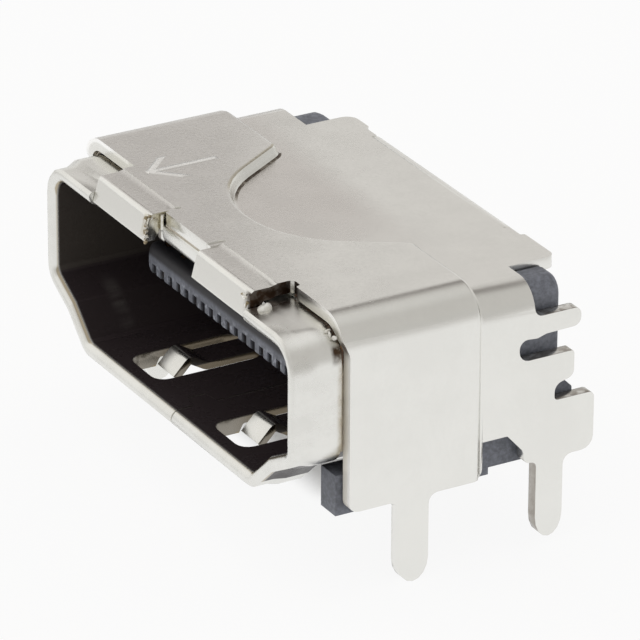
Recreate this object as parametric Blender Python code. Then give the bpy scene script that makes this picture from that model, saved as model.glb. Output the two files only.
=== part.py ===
# Board-mounted socket for a flat 19-way digital video plug: a stamped inner shell round the mouth,
# a stamped outer shell with solder legs, a moulded housing with a tongue, and 19 contacts.
# X is across the mouth, Y runs from the mouth to the back, Z is up from the tips of the legs.
import math

import bmesh
import bpy
from mathutils import Matrix, Vector

mm = 0.001

# Mouth, measured inside the inner shell
mouth_half = 7.0 * mm
mouth_height = 4.55 * mm
mouth_side = 3.03 * mm
shoulder_inset = 1.09 * mm
shoulder_drop = 0.6 * mm
floor_inset = 2.08 * mm
roof_radius = 0.6 * mm
shoulder_radius = 0.3 * mm
throat_radius = 0.7 * mm
floor_radius = 0.3 * mm

# Inner shell
inner_sheet = 0.25 * mm
inner_length = 6.2 * mm
rim_width = 0.44 * mm
rim_depth = 0.24 * mm
collar_end = 1.57 * mm
collar_taper = 0.16 * mm
collar_clearance = 0.03 * mm
collar_radius = 0.38 * mm
seam_width = 0.05 * mm
seam_centre = 0.34 * mm
seam_key_start = 0.75 * mm
seam_key_length = 0.8 * mm
seam_key_width = 0.55 * mm
seam_key_flare = 0.12 * mm
window_centre = 2.55 * mm
window_width = 1.9 * mm
window_start = 0.62 * mm
window_length = 3.6 * mm
window_radius = 0.42 * mm
finger_width = 1.0 * mm
finger_rise = 0.33 * mm
finger_heel = 2.5 * mm
finger_crest = 1.95 * mm
finger_tip = 1.47 * mm
finger_dip = 0.3 * mm
lip_start = 0.68 * mm
lip_height = 0.55 * mm

# Outer shell
outer_sheet = 0.38 * mm
shell_gap = 0.03 * mm
crown_height = 0.34 * mm
side_swell = 0.11 * mm
front_bend = 1.0 * mm
rear_bend = 0.9 * mm
crown_end = 6.12 * mm
crown_slope = 0.32 * mm
side_front = 1.7 * mm
corner_front = 1.5 * mm
centre_front = 0.72 * mm
side_clear = 0.2 * mm
side_corner = 0.3 * mm
bay_front = 2.91 * mm
bay_rear = 6.17 * mm
bay_knee = 1.85 * mm
bay_mouth = 3.9 * mm
bay_radius = 3.2 * mm
bay_flare = 0.7 * mm

# Hooks of the outer shell, over the front edge of the inner shell
hook_inner = 1.42 * mm
hook_outer = 4.6 * mm
hook_front = 0.1 * mm
hook_lean = 0.22 * mm
hook_bend = 0.18 * mm
hook_sink = 0.07 * mm
hook_root = 1.15 * mm
hook_end_height = 0.1 * mm
hook_clearance = 0.04 * mm
hook_notch = 0.42 * mm
hook_notch_end = 1.66 * mm
centre_half = 1.25 * mm

# Legs, and the cut-outs of the side walls
leg_width = 1.0 * mm
front_leg_centre = 3.8 * mm
front_leg_length = 2.44 * mm
rear_leg_width = 0.9 * mm
rear_leg_from_back = 1.46 * mm
rear_leg_short = 0.26 * mm
leg_tip_length = 0.7 * mm
leg_fillet = 0.3 * mm
notch_height = 1.13 * mm
ear_reach = 3.72 * mm
back_inset = 0.39 * mm
plate_edges = {-1: 5.5 * mm, 1: 6.13 * mm}
corner_start = 2.04 * mm

# Housing, standing on the board
board_gap = 0.22 * mm
standoff_height = 0.22 * mm
standoff_length = 1.05 * mm
standoff_width = 0.83 * mm
rear_standoff_length = 0.28 * mm
housing_gap = 0.06 * mm
housing_start_gap = 0.1 * mm
housing_back = 0.87 * mm
housing_bend = 0.8 * mm
corner_rise = 0.47 * mm
ledge_length = 0.42 * mm
ledge_drop = 2.75 * mm
tongue_start = 2.07 * mm
tongue_drop = 1.72 * mm
tongue_thickness = 0.94 * mm
tongue_margin = 0.55 * mm
tongue_round = 0.3 * mm
notch_width = 0.25 * mm
notch_depth = 0.34 * mm
tip_notch_height = 0.38 * mm
rear_wall = 1.3 * mm
rear_roof = 1.25 * mm

# Contacts and the comb that lines up their tails
contact_count = 19
contact_pitch = 0.5 * mm
contact_width = 0.25 * mm
contact_sheet = 0.15 * mm
contact_gap = 0.02 * mm
contact_bend = 0.22 * mm
upper_start = 2.5 * mm
lower_start = 2.3 * mm
upper_drop_back = 1.34 * mm
lower_drop_back = 1.84 * mm
foot_back = 0.1 * mm
comb_height = 0.6 * mm
comb_lift = 0.1 * mm
comb_margin = 0.28 * mm

# Places worked out from the sizes above
overall_depth = crown_end + ear_reach
front = -0.5 * overall_depth
back = 0.5 * overall_depth
board = front_leg_length
side_bottom = board + board_gap
mouth_top = side_bottom + side_clear + inner_sheet + mouth_height
mouth_floor = mouth_top - mouth_height
rear_top = mouth_top + inner_sheet + shell_gap + outer_sheet
crown_top = rear_top + crown_height
# the collar swells up to the sunk part of the hooks
collar_swell = crown_top - hook_sink - outer_sheet - collar_clearance - mouth_top - rim_width
rear_half = mouth_half + inner_sheet + shell_gap + outer_sheet
front_half = rear_half + side_swell
plate_back = back - back_inset
tongue_half = 0.5 * (contact_count - 1) * contact_pitch + tongue_margin
far = 30 * mm


def make_material(name, colour, roughness, metallic):
    material = bpy.data.materials.new(name)
    material.use_nodes = True
    shader = material.node_tree.nodes["Principled BSDF"]
    shader.inputs["Base Color"].default_value = (*colour, 1.0)
    shader.inputs["Roughness"].default_value = roughness
    shader.inputs["Metallic"].default_value = metallic
    material.diffuse_color = (*colour, 1.0)
    return material


def new_object(name, mesh, collection):
    item = bpy.data.objects.new(name, mesh)
    collection.objects.link(item)
    if collection == cutters:
        item.hide_render = True
        item.display_type = "WIRE"
    return item


# A line through corner points (u, v, radius), each rounded with an arc of that radius.
def rounded(corners, segments=4, closed=True):
    points = []
    count = len(corners)
    for index, (u, v, radius) in enumerate(corners):
        here = Vector((u, v))
        end = not closed and index in (0, count - 1)
        if radius == 0 or end:
            points.append(here)
            continue
        before = Vector(corners[index - 1][:2]) - here
        after = Vector(corners[(index + 1) % count][:2]) - here
        half_angle = 0.5 * before.angle(after)
        reach = min(radius / math.tan(half_angle), 0.49 * before.length, 0.49 * after.length)
        start = here + before.normalized() * reach
        finish = here + after.normalized() * reach
        true_radius = reach * math.tan(half_angle)
        middle = here + (before.normalized() + after.normalized()).normalized() * (
            true_radius / math.sin(half_angle))
        sweep = (start - middle).angle_signed(finish - middle)
        for step in range(segments + 1):
            arm = (start - middle)
            arm.rotate(Matrix.Rotation(-sweep * step / segments, 2))
            points.append(middle + arm)
    return points


# Turns a flat outline's own X, Y and Z into the frame's, for an extrusion along the named axis.
plane_turns = {
    "X": Matrix(((0, 0, 1, 0), (1, 0, 0, 0), (0, 1, 0, 0), (0, 0, 0, 1))),
    "Y": Matrix(((1, 0, 0, 0), (0, 0, -1, 0), (0, 1, 0, 0), (0, 0, 0, 1))),
    "Z": Matrix.Identity(4),
}


# A plate with the given outline, from low to high along the named axis.
def plate(name, outline, axis, low, high, collection):
    curve = bpy.data.curves.new(name, "CURVE")
    curve.dimensions = "2D"
    curve.fill_mode = "BOTH"
    curve.extrude = 0.5 * (high - low)
    spline = curve.splines.new("POLY")
    spline.points.add(len(outline) - 1)
    for point, place in zip(spline.points, outline):
        point.co = (place[0], place[1], 0, 1)
    spline.use_cyclic_u = True
    drawn = bpy.data.objects.new(name, curve)
    bpy.context.scene.collection.objects.link(drawn)
    graph = bpy.context.evaluated_depsgraph_get()
    mesh = bpy.data.meshes.new_from_object(drawn.evaluated_get(graph))
    bpy.data.objects.remove(drawn)
    bpy.data.curves.remove(curve)
    mesh.name = name
    middle = 0.5 * (low + high)
    shift = {"X": (middle, 0, 0), "Y": (0, middle, 0), "Z": (0, 0, middle)}[axis]
    mesh.transform(Matrix.Translation(shift) @ plane_turns[axis])
    shape = bmesh.new()
    shape.from_mesh(mesh)
    bmesh.ops.remove_doubles(shape, verts=shape.verts, dist=0.0001 * mm)
    bmesh.ops.dissolve_limit(shape, angle_limit=math.radians(0.5), verts=shape.verts, edges=shape.edges)
    bmesh.ops.recalc_face_normals(shape, faces=shape.faces)
    shape.to_mesh(mesh)
    shape.free()
    return new_object(name, mesh, collection)


# A solid through rings of points; a looped one closes on its first ring and has no ends.
def loft(name, rings, collection, looped=False):
    shape = bmesh.new()
    rows = [[shape.verts.new(point) for point in ring] for ring in rings]
    last = len(rows) if looped else len(rows) - 1
    count = len(rows[0])
    for index in range(last):
        row, following = rows[index], rows[(index + 1) % len(rows)]
        for place in range(count):
            beside = (place + 1) % count
            shape.faces.new((row[place], row[beside], following[beside], following[place]))
    if not looped:
        shape.faces.new(rows[0])
        shape.faces.new(rows[-1])
    bmesh.ops.recalc_face_normals(shape, faces=shape.faces)
    mesh = bpy.data.meshes.new(name)
    shape.to_mesh(mesh)
    shape.free()
    return new_object(name, mesh, collection)


def combine(target, tool, operation):
    boolean = target.modifiers.new(tool.name, "BOOLEAN")
    boolean.operation = operation
    boolean.object = tool
    boolean.solver = "EXACT"


def cut(target, *tools):
    for tool in tools:
        combine(target, tool, "DIFFERENCE")


def join(target, *tools):
    for tool in tools:
        combine(target, tool, "UNION")


# Moves each side of a clockwise outline outwards by an amount, and its rounded corners with it.
def grown(corners, amount):
    count = len(corners)
    moved = []
    for index in range(count):
        here = Vector(corners[index][:2])
        into = (here - Vector(corners[index - 1][:2])).normalized()
        out = (Vector(corners[(index + 1) % count][:2]) - here).normalized()
        normal_in = Vector((-into.y, into.x))
        normal_out = Vector((-out.y, out.x))
        bisector = (normal_in + normal_out).normalized()
        place = here + bisector * (amount / bisector.dot(normal_in))
        radius = corners[index][2]
        if radius > 0:
            turn = into.x * out.y - into.y * out.x
            radius += amount if turn < 0 else -amount
        moved.append((place.x, place.y, radius))
    return moved


# The mouth's outline, seen from the front and grown outwards by an amount.
def mouth_outline(grow, upper_radius):
    half = mouth_half
    corners = [
        (half, mouth_top, upper_radius),
        (half, mouth_top - mouth_side, shoulder_radius),
        (half - shoulder_inset, mouth_top - mouth_side - shoulder_drop, throat_radius),
        (half - floor_inset, mouth_floor, floor_radius),
    ]
    corners += [(-x, z, radius) for x, z, radius in reversed(corners)]
    return rounded(grown(corners, grow), segments=5)


def mouth_ring(grow, depth, upper_radius=roof_radius):
    return [(x, front + depth, z) for x, z in mouth_outline(grow, upper_radius)]


# The inner shell's wall with its rounded rim, as a ring swept round the mouth.
def shell_ring(collection):
    profile = [(0, inner_length), (0, rim_depth)]
    profile += [
        (0.05 * mm, 0.55 * rim_depth),
        (0.13 * mm, 0.23 * rim_depth),
        (0.23 * mm, 0.05 * rim_depth),
        (0.3 * mm, 0),
        (rim_width - 0.07 * mm, 0.02 * mm),
        (rim_width, 0.1 * mm),
        (rim_width, 0.5 * mm),
        (rim_width + collar_swell, 0.85 * mm, collar_radius),
        (rim_width + collar_swell, collar_end, collar_radius),
        (inner_sheet + 0.25 * (rim_width - inner_sheet), collar_end + 0.7 * collar_taper),
        (inner_sheet, collar_end + collar_taper),
        (inner_sheet, inner_length),
    ]
    return loft("inner_shell", [mouth_ring(*station) for station in profile], collection, looped=True)


# The outline of a bent strip, from the centre line of its sheet.
def strip_outline(path, sheet):
    left = []
    right = []
    for index, point in enumerate(path):
        before = path[max(index - 1, 0)]
        after = path[min(index + 1, len(path) - 1)]
        along = (Vector(after) - Vector(before)).normalized()
        side = Vector((-along.y, along.x)) * 0.5 * sheet
        left.append(Vector(point) + side)
        right.append(Vector(point) - side)
    return left + right[::-1]


# A spring finger in the floor or the roof; up is the way its crest points, into the mouth.
def spring_finger(name, centre, wall, up):
    sheet = inner_sheet - 0.01 * mm
    path = rounded([
        (front + window_start + window_length + 0.5 * mm, wall - up * 0.5 * inner_sheet, 0),
        (front + finger_heel, wall - up * 0.5 * inner_sheet, 0.3 * mm),
        (front + finger_crest, wall + up * (finger_rise - 0.55 * sheet), 0.14 * mm),
        (front + finger_tip, wall - up * finger_dip, 0),
    ], segments=4, closed=False)
    outline = strip_outline(path, sheet)
    half = 0.5 * finger_width
    return plate(name, outline, "X", centre - half, centre + half, cutters)


def seam_cutter():
    key = seam_key_width
    flare = seam_key_flare
    start = front + seam_key_start
    end = start + seam_key_length
    path = [(0, front - mm), (0, start), (-key, start + flare), (-key, end - flare), (0, end),
            (0, front + inner_length + mm)]
    half = 0.5 * seam_width
    left = [(seam_centre + x - half, y) for x, y in path]
    right = [(seam_centre + x + half, y) for x, y in reversed(path)]
    low = mouth_floor - inner_sheet - mm
    return plate("seam_cutter", left + right, "Z", low, mouth_floor + 0.1 * mm, cutters)


def roof_front_cutter():
    slot = hook_outer + hook_clearance
    middle = hook_inner - hook_clearance
    hooked = front + hook_front + hook_lean + outer_sheet + hook_clearance
    recess = front + lip_start + 0.12 * mm
    outline = [(-slot, front - mm), (slot, front - mm), (slot, hooked), (middle, hooked), (middle, recess),
               (-middle, recess), (-middle, hooked), (-slot, hooked)]
    return plate("roof_front_cutter", outline, "Z", mouth_top - 0.2 * mm, mouth_top + mm, cutters)


# The turned-up lip in the middle of the roof's front edge.
def centre_lip():
    start = front + lip_start
    sheet = inner_sheet - 0.02 * mm
    outline = rounded([
        (start + 0.5 * mm, mouth_top + 0.01 * mm, 0),
        (start, mouth_top + 0.01 * mm, 0.22 * mm),
        (start, mouth_top + lip_height, 0.05 * mm),
        (start + sheet, mouth_top + lip_height, 0.05 * mm),
        (start + sheet, mouth_top + inner_sheet - 0.01 * mm, 0),
        (start + 0.5 * mm, mouth_top + inner_sheet - 0.01 * mm, 0),
    ], segments=4)
    half = hook_inner - 2 * hook_clearance
    return plate("centre_lip", outline, "X", -half, half, cutters)


def make_inner_shell(collection):
    shell = shell_ring(collection)
    windows = []
    fingers = []
    for side in (-1, 1):
        centre = side * window_centre
        half = 0.5 * window_width
        near = front + window_start
        corners = [(centre - half, near, window_radius), (centre + half, near, window_radius),
                   (centre + half, near + window_length, window_radius),
                   (centre - half, near + window_length, window_radius)]
        for wall, up, label in ((mouth_floor, 1, "floor"), (mouth_top, -1, "roof")):
            name = f"{label}_{side}"
            low, high = sorted((wall + up * 0.1 * mm, wall - up * (rim_width + collar_swell + 0.1 * mm)))
            windows.append(plate(f"window_{name}", rounded(corners), "Z", low, high, cutters))
            fingers.append(spring_finger(f"finger_{name}", centre, wall, up))
    cut(shell, roof_front_cutter(), *windows, seam_cutter())
    join(shell, centre_lip(), *fingers)
    return shell


# Half-open section of the outer shell, seen from the front: two walls and a rounded roof.
def arch_ring(depth, half, top, bend, bottom):
    corners = [(-half, bottom, 0), (-half, top, bend), (half, top, bend), (half, bottom, 0)]
    return [(x, front + depth, z) for x, z in rounded(corners, segments=8)]


# The soft step between the raised and the lower part of the roof: shares of its run and of its drop.
def step_profile(steps=6):
    profile = []
    for step in range(steps + 1):
        share = step / steps
        run = share + 0.55 * math.sin(2 * math.pi * share) / (2 * math.pi)
        profile.append((run, 0.5 - 0.5 * math.cos(math.pi * share)))
    return profile


# The arch runs from the raised front part, over the step, into the lower rear part.
def arch(name, inset, start, end, bottom):
    rings = [arch_ring(start, front_half - inset, crown_top - inset, front_bend - inset, bottom)]
    for run, drop in step_profile():
        half = front_half - inset - side_swell * drop
        top = crown_top - inset - crown_height * drop
        bend = front_bend - inset - (front_bend - rear_bend) * drop
        rings.append(arch_ring(crown_end - crown_slope * (1 - run), half, top, bend, bottom))
    rings.append(arch_ring(end, rear_half - inset, rear_top - inset, rear_bend - inset, bottom))
    return loft(name, rings, cutters)


# Plan of the bay in the raised roof at its floor, grown by an amount.
def bay_outline(grow):
    rear = bay_rear
    half = [(bay_mouth + 1.1 * mm, rear + mm, 0), (bay_mouth + 1.1 * mm, rear, 0), (bay_mouth, rear, bay_flare),
            (bay_knee, bay_front, bay_radius)]
    corners = half + [(-x, y, radius) for x, y, radius in reversed(half)]
    return [(spot.x, front + spot.y) for spot in rounded(grown(corners, grow), segments=8)]


# The space above the bay's floor, with a soft sloping wall.
def bay_cutter(name, floor, rim, grow):
    rings = [[(x, y, floor + (rim - floor) * rise) for x, y in bay_outline(grow + crown_slope * run)]
             for run, rise in step_profile(5)]
    rings.append([(x, y, rim + mm) for x, y in bay_outline(grow + crown_slope)])
    return loft(name, rings, cutters)


# Everything in front of the roof's front edge, seen from above, with a notch beside the right hook.
def front_edge_cutter():
    root = front + hook_root
    corner = front + corner_front
    notch_back = front + hook_notch_end
    side = [(far, front - far, 0), (far, corner, 0)]
    notch = [(hook_outer + hook_notch, corner, 0.08 * mm), (hook_outer + hook_notch, notch_back, 0.14 * mm),
             (hook_outer, notch_back, 0.16 * mm)]
    middle = [(hook_outer, root, 0), (hook_inner, root, 0), (hook_inner, root + 0.12 * mm, 0.08 * mm),
              (centre_half, root + 0.12 * mm, 0.08 * mm), (centre_half, front + centre_front, 0.06 * mm)]
    mirrored = [(-x, y, radius) for x, y, radius in reversed(side + [(hook_outer, corner, 0)] + middle)]
    return plate("front_edge_cutter", rounded(side + notch + middle + mirrored), "Z", -far, far, cutters)


# Everything behind the roof's back edge, seen from above, with a notch beside the back wall.
def back_edge_cutter():
    wall_half = 3.8 * mm
    tab_start = 4.45 * mm
    tab = plate_back - 0.07 * mm
    notch = plate_back - 0.2 * mm
    wall = plate_back - outer_sheet
    halves = {}
    for side, tab_end in plate_edges.items():
        tab_radius = 0.25 * mm if side == 1 else 0.5 * mm
        halves[side] = [
            (wall_half, wall, 0), (wall_half, notch, 0), (tab_start, notch, 0.1 * mm), (tab_start, tab, 0.15 * mm),
            (tab_end, tab, tab_radius), (tab_end, tab - 0.8 * mm, 0), (far, tab - 0.8 * mm, 0), (far, far, 0)]
    outline = rounded([(-x, y, radius) for x, y, radius in reversed(halves[-1])] + halves[1])
    low = rear_top - outer_sheet - 0.1 * mm
    return plate("back_edge_cutter", outline, "Z", low, crown_top + mm, cutters)


# The open rear corners, where the housing shows.
def corner_opening(side):
    edge = back - corner_start
    sill = mouth_top - 0.32 * mm
    outline = rounded([(edge, crown_top + mm, 0), (edge, sill, 0.25 * mm), (far, sill, 0),
                       (far, crown_top + mm, 0)])
    low, high = sorted((side * plate_edges[side], side * far))
    return plate(f"corner_opening_{side}", outline, "X", low, high, cutters)


def leg_tip(centre, width, tip, steps=8):
    points = []
    for step in range(steps + 1):
        angle = math.pi * step / steps
        across = -0.5 * width * math.cos(angle)
        points.append((centre + across, tip + leg_tip_length * (1 - math.sin(angle)), 0))
    return points


# The side walls seen from the right: legs, cut-outs, slot and ears along one closed outline.
def side_outline():
    sill = mouth_top - 0.32 * mm
    near = front + side_front
    swell_end = front + crown_end
    leg = front + front_leg_centre
    rear_leg = back - rear_leg_from_back
    half = 0.5 * leg_width
    rear_half_width = 0.5 * rear_leg_width
    bottom = side_bottom
    rear_bottom = side_bottom + 0.1 * mm
    notch_top = side_bottom + notch_height
    ear_low = mouth_top - 3.1 * mm
    slot_low = mouth_top - 1.64 * mm
    slot_high = mouth_top - 0.94 * mm
    slot_end = back - 2.54 * mm
    return rounded([
        (front - far, far, 0), (front - far, mouth_top + 0.56 * mm, 0),
        (front + corner_front, mouth_top + 0.56 * mm, 0), (front + corner_front + 0.03 * mm, mouth_top + 0.3 * mm, 0.3 * mm),
        (near, mouth_top - 0.1 * mm, 0.3 * mm), (near, bottom, side_corner), (leg - half, bottom, leg_fillet),
        *leg_tip(leg, leg_width, 0.0),
        (leg + half, bottom, leg_fillet), (swell_end, bottom, side_corner), (swell_end, notch_top, 0),
        (back - 2.89 * mm, notch_top, 0.1 * mm), (back - 2.34 * mm, notch_top - 0.62 * mm, 0.2 * mm),
        (back - 2.32 * mm, rear_bottom, 0.2 * mm), (rear_leg - rear_half_width, rear_bottom, 0.18 * mm),
        *leg_tip(rear_leg, rear_leg_width, rear_leg_short),
        (rear_leg + rear_half_width, rear_bottom, leg_fillet), (back, rear_bottom, 0.4 * mm),
        (back, ear_low, 0.18 * mm), (back - 1.34 * mm, ear_low, 0.12 * mm),
        (back - 1.34 * mm, ear_low + 0.5 * mm, 0.3 * mm), (back - 0.7 * mm, ear_low + 0.65 * mm, 0.25 * mm),
        (back - 0.7 * mm, slot_low, 0.1 * mm), (slot_end, slot_low, 0.33 * mm),
        (slot_end, slot_high, 0.33 * mm), (back - 1.95 * mm, slot_high - 0.06 * mm, 0.2 * mm),
        (back - 1.65 * mm, slot_high + 0.03 * mm, 0.15 * mm), (back - 0.5 * mm, slot_high + 0.05 * mm, 0.25 * mm),
        (back - 0.5 * mm, sill, 0.25 * mm), (back - 0.95 * mm, sill, 0), (back - 0.95 * mm, sill + 0.1 * mm, 0),
        (far, sill + 0.1 * mm, 0), (far, far, 0),
    ])


# A hook, from the roof over a slight step to the panel that closes the front of the inner shell.
def hook(side):
    top = crown_top - 0.01 * mm
    sunk = crown_top - hook_sink
    root = front + hook_root + 0.03 * mm
    end = mouth_top + hook_end_height
    outer_face = front + hook_front
    inner_face = outer_face + outer_sheet
    under = outer_sheet - 0.02 * mm
    outline = rounded([
        (root + 0.2 * mm, top, 0), (root, top, 0.1 * mm), (root - 0.25 * mm, sunk, 0.1 * mm),
        (outer_face + hook_lean, sunk, hook_bend), (outer_face, end, 0.06 * mm), (inner_face, end, 0.06 * mm),
        (inner_face + hook_lean, sunk - outer_sheet, 0.04 * mm), (root - 0.25 * mm, sunk - outer_sheet, 0.1 * mm),
        (root, top - under, 0.1 * mm), (root + 0.2 * mm, top - under, 0),
    ], segments=6)
    trim = 0.01 * mm
    low, high = sorted((side * (hook_inner + trim), side * (hook_outer - trim)))
    return plate(f"hook_{side}", outline, "X", low, high, cutters)


# The back wall, bent down from the roof and clear of the contact tails.
def back_wall():
    bend = outer_sheet + 0.04 * mm
    top = rear_top - 0.01 * mm
    low = board + 0.9 * mm
    outline = rounded([
        (plate_back - outer_sheet - 0.2 * mm, top, 0), (plate_back, top, bend), (plate_back, low, 0.1 * mm),
        (plate_back - outer_sheet, low, 0.1 * mm), (plate_back - outer_sheet, top - outer_sheet + 0.02 * mm, 0.04 * mm),
        (plate_back - outer_sheet - 0.2 * mm, top - outer_sheet + 0.02 * mm, 0),
    ], segments=6)
    half = 3.75 * mm
    return plate("back_wall", outline, "X", -half, half, cutters)


def make_outer_shell(collection):
    shell = arch("outer_arch", 0.0, 0.3 * mm, overall_depth + 0.2 * mm, -mm)
    cutters.objects.unlink(shell)
    collection.objects.link(shell)
    shell.name = "outer_shell"
    shell.hide_render = False
    shell.display_type = "TEXTURED"
    bay = bay_cutter("bay_above", rear_top, crown_top, 0.0)
    cut(shell, bay)
    room = arch("outer_room", outer_sheet, -mm, overall_depth + mm, -2 * mm)
    under = bay_cutter("bay_below", rear_top - outer_sheet, crown_top - outer_sheet, 0.5 * outer_sheet)
    cut(room, under)
    cut(shell, room)
    combine(shell, plate("side_keep", side_outline(), "X", -far, far, cutters), "INTERSECT")
    cut(shell, front_edge_cutter(), back_edge_cutter())
    for side in (-1, 1):
        cut(shell, corner_opening(side))
        join(shell, hook(side))
    join(shell, back_wall())
    return shell


def contact_place(index):
    return (index - 0.5 * (contact_count - 1)) * contact_pitch


def is_upper(index):
    return index % 2 == 0


# The tongue, with a well rounded front; the grooves for its contacts are cut later.
def tongue():
    top = mouth_top - tongue_drop
    low = top - tongue_thickness
    start = tongue_start
    rings = []
    steps = 4
    for step in range(steps + 1):
        angle = math.radians(90 * step / steps)
        inset = tongue_round * (1 - math.sin(angle))
        depth = start + tongue_round * (1 - math.cos(angle))
        rings.append((depth, inset))
    rings.append((inner_length + 0.5 * mm, 0.0))
    sections = []
    for depth, inset in rings:
        half = tongue_half - inset
        corners = [(-half, low + 0.4 * inset, 0.22 * mm), (-half, top - inset, 0.22 * mm),
                   (half, top - inset, 0.22 * mm), (half, low + 0.4 * inset, 0.22 * mm)]
        sections.append([(x, front + depth, z) for x, z in rounded(corners, segments=3)])
    return loft("tongue", sections, cutters)


def housing_block(collection):
    half = rear_half - outer_sheet - 2 * housing_gap
    top = rear_top - outer_sheet - 0.5 * housing_gap
    bottom = side_bottom
    start = inner_length + housing_start_gap
    end = overall_depth - housing_back
    stations = [(start, 0.0), (end - 0.2 * mm, 0.0), (end - 0.06 * mm, 0.06 * mm), (end, 0.2 * mm)]
    rings = [arch_ring(depth, half - inset, top - inset, housing_bend, bottom) for depth, inset in stations]
    return loft("housing", rings, collection)


# One mesh of separate boxes.
def boxes(name, spans, collection=None):
    shape = bmesh.new()
    for start, end in spans:
        size = Vector(end) - Vector(start)
        middle = 0.5 * (Vector(end) + Vector(start))
        made = bmesh.ops.create_cube(shape, size=1.0)
        bmesh.ops.transform(shape, verts=made["verts"],
                            matrix=Matrix.Translation(middle) @ Matrix.Diagonal((*size, 1.0)))
    mesh = bpy.data.meshes.new(name)
    shape.to_mesh(mesh)
    shape.free()
    return new_object(name, mesh, collection or cutters)


# Grooves in the tongue that run on as tunnels through the block to the space behind it.
def contact_grooves():
    top = mouth_top - tongue_drop
    low = top - tongue_thickness
    through = front + inner_length + housing_start_gap + rear_wall + 0.1 * mm
    half = 0.5 * contact_width + contact_gap
    depth = contact_sheet + contact_gap
    grooves = []
    for index in range(contact_count):
        x = contact_place(index)
        if is_upper(index):
            grooves.append(((x - half, front + upper_start - contact_gap, top - depth),
                            (x + half, through, top + contact_gap)))
        else:
            grooves.append(((x - half, front + lower_start - contact_gap, low - contact_gap),
                            (x + half, through, low + depth)))
    return boxes("contact_grooves", grooves)


# Small notches along the lower front edge of the tongue, one at each contact.
def tip_notches():
    low = mouth_top - tongue_drop - tongue_thickness
    start = front + tongue_start - 0.1 * mm
    end = front + tongue_start + notch_depth
    half = 0.5 * notch_width
    places = [contact_place(index) for index in range(contact_count)]
    return boxes("tip_notches", [((x - half, start, low - 0.1 * mm), (x + half, end, low + tip_notch_height))
                                 for x in places])


# The block's raised corner, standing in the opening behind the shell's rounded edge.
def raised_corner(side):
    half = rear_half - outer_sheet - 2 * housing_gap
    start = overall_depth - corner_start + housing_gap
    end = overall_depth - housing_back
    stations = [(start, 0.0), (end - 0.2 * mm, 0.0), (end - 0.06 * mm, 0.06 * mm), (end, 0.2 * mm)]
    low = mouth_top - mm
    edge = plate_edges[side] + housing_gap
    rings = []
    for depth, inset in stations:
        corners = [(edge, low, 0), (half - inset, low, 0), (half - inset, mouth_top + corner_rise - inset, 0.7 * mm),
                   (edge, mouth_top + corner_rise - inset, 0)]
        rings.append([(side * x, front + depth, z) for x, z in rounded(corners, segments=6)])
    return loft(f"raised_corner_{side}", rings, cutters)


def make_housing(collection):
    housing = housing_block(collection)
    outer = front_half - outer_sheet - housing_gap
    inner = outer - standoff_width
    rail_outer = rear_half - outer_sheet - 2 * housing_gap
    top = mouth_top - mouth_side - shoulder_drop - 0.32 * mm
    start = front + corner_front
    block_start = front + inner_length + housing_start_gap
    for side in (-1, 1):
        post = plate(f"post_{side}", [(start, board), (start + standoff_length, board),
                                      (start + standoff_length, top), (start, top)],
                     "X", *sorted((side * inner, side * outer)), cutters)
        low, high = sorted((side * inner, side * rail_outer))
        rail = boxes(f"rail_{side}", [((low, start + 0.3 * mm, side_bottom + 0.05 * mm),
                                       (high, block_start + 0.2 * mm, top - 0.05 * mm))])
        foot_start = block_start + 0.05 * mm
        foot = boxes(f"foot_{side}", [((low, foot_start, board),
                                       (high, foot_start + rear_standoff_length, side_bottom + 0.2 * mm))])
        ledge_end = back - housing_back + ledge_length
        ledge_low, ledge_high = sorted((side * 6.3 * mm, side * rail_outer))
        ledge_top = mouth_top - ledge_drop
        ledge = plate(f"ledge_{side}", rounded([
            (ledge_end - mm, side_bottom + 0.2 * mm, 0), (ledge_end, side_bottom + 0.2 * mm, 0),
            (ledge_end, ledge_top - 0.3 * mm, 0.1 * mm), (ledge_end - 0.3 * mm, ledge_top, 0.1 * mm),
            (ledge_end - mm, ledge_top, 0)]), "X", ledge_low, ledge_high, cutters)
        join(housing, post, rail, foot, ledge, raised_corner(side))
    join(housing, tongue())
    space_half = tongue_half
    behind = boxes("behind", [((-space_half, block_start + rear_wall, board - mm),
                               (space_half, back + mm, rear_top - outer_sheet - rear_roof))])
    cut(housing, behind, contact_grooves(), tip_notches())
    return housing


# A contact: a beam in the tongue, a drop behind the block and a foot on the board.
def make_contact(index, collection):
    top = mouth_top - tongue_drop
    if is_upper(index):
        start = front + upper_start
        level = top - 0.5 * contact_sheet
        drop = back - upper_drop_back
    else:
        start = front + lower_start
        level = top - tongue_thickness + 0.5 * contact_sheet
        drop = back - lower_drop_back
    foot = board + 0.5 * contact_sheet
    path = rounded([(start, level, 0), (drop, level, contact_bend), (drop, foot, contact_bend),
                    (back - foot_back, foot, 0)], segments=4, closed=False)
    x = contact_place(index)
    half = 0.5 * contact_width
    return plate(f"contact_{index + 1:02d}", strip_outline(path, contact_sheet), "X", x - half, x + half, collection)


# The comb that keeps the tails in line, in the space behind the block.
def make_comb(collection):
    block_start = front + inner_length + housing_start_gap
    near = block_start + rear_wall + contact_gap
    far_side = back - housing_back - 0.05 * mm
    low = side_bottom + comb_lift
    half = tongue_half - contact_gap
    comb = boxes("tail_comb", [((-half, near, low), (half, far_side, low + comb_height))], collection)
    reach = 0.5 * contact_sheet + contact_gap
    wide = 0.5 * contact_width + contact_gap
    holes = []
    for index in range(contact_count):
        x = contact_place(index)
        drop = back - (upper_drop_back if is_upper(index) else lower_drop_back)
        holes.append(((x - wide, drop - reach, low - mm), (x + wide, drop + reach, low + comb_height + mm)))
    cut(comb, boxes("tail_holes", holes))
    return comb


for item in list(bpy.data.objects):
    bpy.data.objects.remove(item)

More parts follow.
